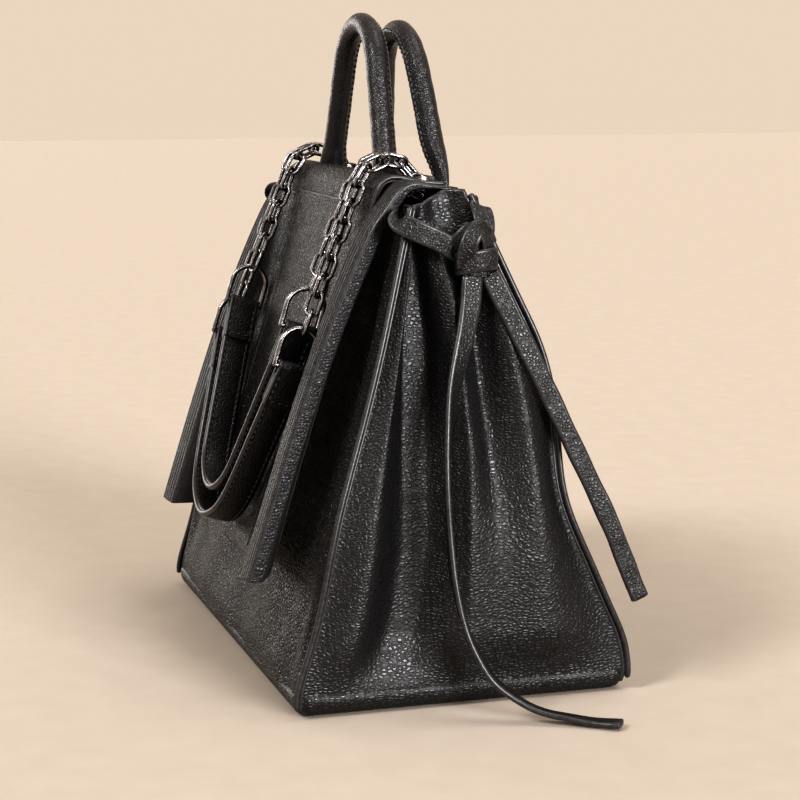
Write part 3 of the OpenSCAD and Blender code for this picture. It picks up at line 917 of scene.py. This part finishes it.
def flap():
    sheet = slab("flap_sheet_leather", flap_grid(-106.2, 106.2, 0, 132, 170), 2.5,
                 [FRONT_GRAIN, EDGE, SUEDE], flip=True)
    cut_slots(sheet)
    finish_piece(sheet, "flap", ["flap_sheet"])
    lining = slab("flap_lining_cloth", flap_grid(-104, 104, -2.5, 90, 130, 0.0, 0.996), 1.5,
                  [LINING] * 3, flip=True)
    cut_slots(lining)
    finish_piece(lining, "flap", ["flap_lining"])
    for name, sign in (("right", 1), ("left", -1)):
        finish_piece(border("flap_edge_" + name, sign), "flap", ["flap_border_" + name])
    panel = slab("flap_panel", flap_grid(-60, 60, 1.5, 80, 120, 0.20, 0.992), 1.6,
                 [FRONT_GRAIN, EDGE, SOFT], flip=True)
    finish_piece(panel, "flap", ["flap_overlay"])
    rows = []
    for x in (-57, 57, -2.5):
        g = flap_grid(x, x + 1, 1.5, 2, 160, 0.215, 0.975)[0]
        run = np.gradient(g, axis=0)
        rows.append(stitches("row", g, np.stack([run[:, 0], -run[:, 2], run[:, 1]], axis=-1), THREAD))
    for x in (-53.5, 53.5):
        g = flap_grid(x, x + 1, 1.45, 2, 160, 0.21, 0.985)[0]
        rows.append(sweep("row", g, round_section(0.55, 8), (1, 0, 0), [EDGE]))
    threads = join("flap_stitching", rows)
    finish_piece(threads, "flap")


def hinge_strip():
    """The strip that sews the flap to the back panel, with its stitches."""
    z = np.array([277, 281, 286, 291, 296, 300, 303, 304.6])
    grid = on_skin("back", np.linspace(-131, 131, 90)[:, None], z, -2.2)
    strip = slab("hinge_leather", grid, 2.0, [SOFT, EDGE, SOFT], flip=True)
    finish_piece(strip, "root", ["flap_hinge_strip"])
    line = on_skin("back", np.linspace(-128, 128, 120), 280.5, -2.3)
    row = stitches("hinge_stitching", line, (0, 0.9, 0.4), THREAD)
    finish_piece(row, "root")


# ---------------------------------------------------------------- handles

ARCH_R, ARCH_END, TUBE = 40, 70, 14


def handle_path(y0, centre, fold, lean, feet):
    """The middle line of a handle, foot to foot, with its lean; `feet` are its lowest points."""
    end = math.radians(ARCH_END)
    run = centre + ARCH_R * math.cos(end) - fold
    arch = [(ARCH_R * math.sin(a), centre - fold + ARCH_R * math.cos(a)) for a in np.linspace(-end, end, 15)]
    legs = [(arch[0][0] - f * run / math.tan(end), run * (1 - f)) for f in (1.0, 0.66, 0.33)]
    c, s = turned(lean)
    upper = [(x, y0 - z * s, fold + z * c) for x, z in legs + arch + [(-x, z) for x, z in legs[::-1]]]
    return resample(feet + upper + [(-x, y, z) for x, y, z in feet[::-1]], 150)


def handle(name, path, fold, span, foot, welt):
    """A leather tube over rope, with a stitched welt at the angle `welt`.

    Below the fold it flattens, over `span`, to feet that are `foot` wide and thick.
    """
    ridges = ((welt, 1.5, 11), (180, 0.3, 9), (welt + 38, -0.35, 8), (welt - 38, -0.35, 8))
    base = round_section(TUBE / 2, 36, ridges)
    flat = 1 - ramp(path[:, 2], fold - 12, fold + span)
    grow = 1 + np.outer(flat, np.array(foot) / TUBE - 1)
    along = chord(path)
    uneven = 1 + 0.012 * np.sin(along / 3.1) + 0.008 * np.sin(along / 1.7 + 1)
    sections = base[None] * grow[:, None] * uneven[:, None, None]
    rows = [sweep(name, path, sections, (0, 1, 0), [ROLLED], round_ends=2.0)]
    wide, thick, _ = frames(path, (0, 1, 0))
    k = path[:, 2] > fold - 4
    for turn in (-13, 13):
        c, s = turned(welt + turn)
        out = wide * c + thick * s
        line = path + out * 7.55 * grow[:, 1:]
        rows.append(stitches("row", line[k], out[k], THREAD, 2.4, 1.5, 0.9, 0.15))
    whole = join(name + "_leather", rows)
    foot_node = name.replace("handle", "foot")
    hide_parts(name + "_cover", foot_node + "_right", foot_node + "_left")
    return whole


def handles():
    feet = [(-63.0, -17.0, 310.5), (-61.8, -17.0, 314)]
    path = handle_path(y0=-17, centre=367, fold=318, lean=-1.7, feet=feet)
    front = handle("front_handle", path, fold=318, span=14, foot=(17, 18), welt=270)
    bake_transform(front)
    feet = [(-71.5, 25.5, 279), (-67.8, 22.6, 288), (-64.6, 19.4, 297)]
    path = handle_path(y0=19.6, centre=363, fold=306, lean=5.4, feet=feet)
    rear = handle("rear_handle", path, fold=306, span=30, foot=(22, 6), welt=90)
    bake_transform(rear)
    core = sweep("rear_handle_core", path[path[:, 2] > 336], round_section(4.4, 16), (0, 1, 0), [ROPE],
                 round_ends=1.2)
    finish_piece(core, "rear_handle", ["rear_handle_rope"])


# ---------------------------------------------------------------- strap

def placed(p, at, lean):
    """Points of a frame at (y, z) = `at`, turned `lean` degrees about X."""
    p = np.asarray(p, float)
    c, s = turned(lean)
    return np.stack([p[..., 0], at[0] + p[..., 1] * c - p[..., 2] * s,
                     at[1] + p[..., 1] * s + p[..., 2] * c], axis=-1)


STRAP_AT, TILT = (-36.1, 307), 17
OUT = placed((0, 1, 0), (0, 0), -TILT)
BAND_MID, BAND_W, BAND_T, TAB_T = -13.5, 20, 4, 1.9
BARS = [(75.5, -96), (87, -120)]
ARCS = [(42, -214, 21.5), (56, -232, 24.5)]


def on_flap(x, z):
    """A line in the strap's plane, which stands off the flap and runs down it, in the bag's frame."""
    return placed(np.stack([x, 0 * x + BAND_MID, z], axis=-1), STRAP_AT, -TILT)


def band_line(n):
    (bx, bz), (r, bottom, splay) = BARS[n], ARCS[n]
    a = math.radians(splay)
    top = (bx - 6 * math.sin(a), bz - 6 * math.cos(a))
    low = (bx - 45 * math.sin(a), bz - 45 * math.cos(a))
    turns = np.linspace(math.pi + a, 2 * math.pi - a, 15)
    arc = [(r * math.cos(t), bottom + r + r * math.sin(t)) for t in turns]
    mid = [(0.5 * (low[0] + arc[-1][0]), 0.5 * (low[1] + arc[-1][1]))]
    side = [top, low] + mid
    return resample([(-x, z) for x, z in side] + arc + side[::-1], 170)


def band(n, name):
    p = band_line(n)
    path = on_flap(p[:, 0], p[:, 1])
    section, tags = flat_section(BAND_W, BAND_T, 0.45, 3.0)
    s = np.linspace(0, 1, len(path))
    sec = np.broadcast_to(section, (len(path),) + section.shape).copy()
    sec[..., 1] += 0.25 * (np.sin(s * 47) * hump(s, 0.5, 0.28))[:, None] * (section[:, 0] / 10)[None] ** 2
    rows = [sweep(name, path, sec, OUT, [STRAP, EDGE], turn=90, tags=tags)]
    wide, thick, _ = frames(path, OUT, 90)
    for side in (-7, 7):
        for face in (-1, 1):
            line = path + wide * side + thick * face * 1.55
            rows.append(stitches("row", line[6:-6], thick[6:-6] * face, THREAD, 2.9, 1.4, 0.8, 0.2))
    finish_piece(join(name, rows), "strap", [name.replace("_leather", "")])


def tab_line(n):
    """A tab's middle line: down one face, round the ring's bar and back, in the strap's plane."""
    c, s = turned(ARCS[n][2])
    down = np.array([-s, -c])
    out = np.array([c, -s]) * 3.05
    back = down * 3.05
    mid = np.array(BARS[n])
    steps = (5, 10, 16, 22, 27)
    pts = [mid + down * k + out for k in steps[::-1]]
    pts += [mid + out * math.cos(t) - back * math.sin(t) for t in np.linspace(0, math.pi, 7)]
    return resample(pts + [mid + down * k - out for k in steps], 60)


def tab_stitches(path):
    """Stitches across both ends of a tab and along both its sides."""
    wide, thick, _ = frames(path, OUT, 90)
    rows = []
    for end, other in ((3, 36), (56, 24)):
        away = thick[end] if (path[end] - path[other]) @ thick[end] > 0 else -thick[end]
        line = path[end] + np.outer(np.linspace(-7.4, 7.4, 12), wide[end]) + away * 0.8
        rows.append(stitches("row", line, away, THREAD, 2.6, 1.2, 0.8, 0.25))
    for side in (-7.4, 7.4):
        for part in (slice(3, 22), slice(38, 57)):
            for face in (-1, 1):
                line = path[part] + wide[part] * side + thick[part] * 0.72 * face
                rows.append(stitches("row", line, thick[part] * face, THREAD, 2.6, 1.4, 0.8, 0.2))
    return rows


def tab_pair(n, name):
    pieces = []
    section, tags = flat_section(BAND_W, TAB_T, 0.25, 2.6)
    p = tab_line(n)
    for sign in (1, -1):
        path = on_flap(sign * p[:, 0], p[:, 1])
        pieces.append(sweep("tab", path, section, OUT, [STRAP, EDGE], turn=90, tags=tags, round_ends=0.6))
        pieces += tab_stitches(path)
    finish_piece(join(name, pieces), "strap", [name.replace("_leather", "")])


def strap():
    for n, side in ((0, "inner"), (1, "outer")):
        band(n, f"band_{side}_leather")
        tab_pair(n, f"tabs_{side}_leather")


# ---------------------------------------------------------------- knots and tie bands

def strap_run(name, route, w, t, turn=0, count=40):
    """A flat run of the tie along a route, turned about its own line."""
    pts, turn = resample(route, count, np.broadcast_to(turn, len(route)))
    section, tags = flat_section(w, t)
    return sweep(name, pts, section, (1, 0, 0), [STRAP, EDGE], turn=turn, tags=tags, round_ends=0.8)


def knot_wrap(centre, rx, ry, high, t):
    """The turn of the tie that goes right round the others."""
    a = np.linspace(0, 2 * math.pi, 61)[:-1]
    section, tags = flat_section(high, t)
    ring = np.stack([rx * np.cos(a), ry * np.sin(a), 0.8 * np.sin(a) + 0.5 * np.cos(2 * a)], axis=-1)
    path = ring + centre
    out = unit(np.stack([np.cos(a) / rx, np.sin(a) / ry, 0 * a], axis=-1))
    up = np.array([0.0, 0.0, 1.0])
    rings = path[:, None] + section[None, :, :1] * up + section[None, :, 1:] * out[:, None]
    rings[:, :, 2] += 0.06 * (rings[:, :, 1] - centre[1])
    faces = tube_faces(len(a), len(section), closed=True)
    return make("wrap", rings.reshape(-1, 3), faces, [STRAP, EDGE], tags * len(a))


def flip_piece(obj):
    """Turns a right-hand piece into the left-hand one."""
    co = np.array([v.co for v in obj.data.vertices])
    co[:, 0] *= -1
    obj.data.vertices.foreach_set("co", co.ravel())
    obj.data.flip_normals()
    obj.data.update()


OVER = [(160.5, -6, 275), (165, -1, 281), (167.5, 4, 285.5), (168.5, 9, 284), (168, 13, 277),
        (165.5, 14, 268)]
OVER_TURN = [10, 25, 40, 50, 40, 20]
CROSS = [(161, 16, 277), (164.5, 12, 284.5), (169, 7, 287), (172, 2, 282), (171.5, -1, 273), (168, -1, 264)]
CROSS_TURN = [0, -20, -35, -30, -10, 0]
CORE = [(163.5, 7.5, 277), (164, 7.5, 268), (164.5, 7.5, 258)]


def knot_parts():
    return [knot_wrap((164.2, 7.5, 267.5), 7.4, 11.6, 13.5, 3.2),
            strap_run("loop", OVER, 11.5, 3.0, OVER_TURN),
            strap_run("loop", CROSS, 11, 2.8, CROSS_TURN),
            strap_run("core", CORE, 18, 9, count=12)]


def knots():
    for side in ("right", "left"):
        pieces = [(strap_run("tie_front_band_" + side, TIE_FRONT, TIE_W, 3.0, count=60), "tie_front_"),
                  (strap_run("tie_back_band_" + side, TIE_BACK, TIE_W, 3.0, count=50), "tie_back_"),
                  (join("tie_knot_leather_" + side, knot_parts()), "tie_knot_")]
        for obj, node in pieces:
            if side == "left":
                flip_piece(obj)
            finish_piece(obj, "root", [node + side])


# ---------------------------------------------------------------- inside

def inside_ring(z, off, nu=60, nv=44):
    """A closed loop round the inside of the walls at height z."""
    w = side_x(z) - tuck(z) - off
    x = np.linspace(-1, 1, nu) * (w - 2)
    front, back = (on_skin(kind, x, z, off) for kind in ("front", "back"))
    yf, yb = front_y(z) + tuck(z) + off + 3, back_y(z) - tuck(z) - off - 3
    y = np.linspace(yf, yb, nv)
    right, left = (np.stack([k * (w + gusset_folds(y, z, k)), y, 0 * y + z], axis=-1) for k in (1, -1))
    return np.concatenate([front, right[1:-1], back[::-1], left[::-1][1:-1]])


def lining():
    rings = [inside_ring(z, 4.2) for z in np.linspace(6.5, 260, 46)]
    centre = np.array([0, -1, 0])
    rows = [(rings[0] - centre) * (k, k, 1) + centre for k in (0.03, 0.3, 0.6, 0.85)]
    cup = slab("lining_cloth_cup", np.stack(rows + rings), 0.9, [LINING] * 3, wrap=True)
    finish_piece(cup, "root", ["lining"])


def facing(kind, top):
    """The leather strip inside a panel's top edge, with a row of stitches along each side."""
    z = np.linspace(top - 36.5, top - 0.4, 26)[None, :]
    grid = on_skin(kind, np.linspace(-1, 1, 110)[:, None] * (side_x(z) - 7.5), z, 4.9)
    inward = (0, 1 if kind == "front" else -1, 0.1)
    rows = [slab("strip", grid, 1.5, [SUEDE, EDGE, SUEDE], flip=kind == "front")]
    for h in (top - 4, top - 33):
        line = on_skin(kind, np.linspace(-1, 1, 160) * (side_x(h) - 12), h, 5.0)
        rows.append(stitches("row", line, inward, THREAD))
    finish_piece(join(kind + "_facing_leather", rows), "root", [kind + "_facing"])


def pocket():
    """The pocket's bag, slack in its middle, with stitches round three of its sides."""
    low, high = 121, 226
    x = np.linspace(-89, 89, 60)[:, None]
    z = np.linspace(low, high, 40)[None, :]
    slack = 0.7 * np.sin(math.pi * (z - low) / (high - low)) * np.cos(x / 57)
    rows = [slab("bag", on_skin("back", x, z, 5.6 + slack), 1.2, [LINING] * 3)]
    for x0, z0, x1, z1 in ((-87, 123, 87, 123), (-87, 123, -87, 224), (87, 123, 87, 224)):
        line = on_skin("back", np.linspace(x0, x1, 80), np.linspace(z0, z1, 80), 5.9)
        rows.append(stitches("row", line, (0, -1, 0), THREAD))
    finish_piece(join("pocket_cloth", rows), "root", ["pocket_bag"])


ZIP_AT, ZIP_LEAN = (33.3, 238.4), 24.1


def zip_teeth():
    """Two interlocked rows of teeth on the pocket's zip."""
    points = []
    faces = []
    box = [(0, 1, 3, 2), (4, 6, 7, 5), (0, 4, 5, 1), (2, 3, 7, 6), (0, 2, 6, 4), (1, 5, 7, 3)]
    pitch, first = 1.5, -84.5
    for k in range(113):
        x = first + pitch * k
        side = 1 if k % 2 else -1
        base = len(points)
        for dz in (-0.35 * side, 1.9 * side):
            for dy in (-2.1, -0.9):
                for dx in (-0.5, 0.5):
                    points.append(placed((x + dx, dy, dz), ZIP_AT, ZIP_LEAN))
        faces += shifted(box, base)
    teeth = make("zip_teeth_rows", points, faces, [ZIP])
    bevel_end(teeth)
    finish_piece(teeth, "root", ["zip_teeth"])


def inside():
    lining()
    facing("front", FRONT_TOP)
    facing("back", BACK_TOP)
    pocket()
    zip_teeth()


# ---------------------------------------------------------------- CAD parts that stay

def dress_frame():
    """Gives materials to the metal, rope and tape that come straight from the frame."""
    kept = {"zip_tape": TAPE, "zip_slider": ZIP, "zip_pull": ZIP, "eyelets": GUN, "chain_bars": GUN,
            "front_handle_rope": ROPE}
    for name in NODES:
        if name.startswith(("chain_", "ring_")):
            kept[name] = GUN
    for name, mat in kept.items():
        mesh = NODES[name].data
        mesh.materials.clear()
        mesh.materials.append(mat)
        mesh.polygons.foreach_set("material_index", [0] * len(mesh.polygons))


walls()
piping_seams()
base()
hinge_strip()
flap()
handles()
strap()
knots()
inside()
dress_frame()
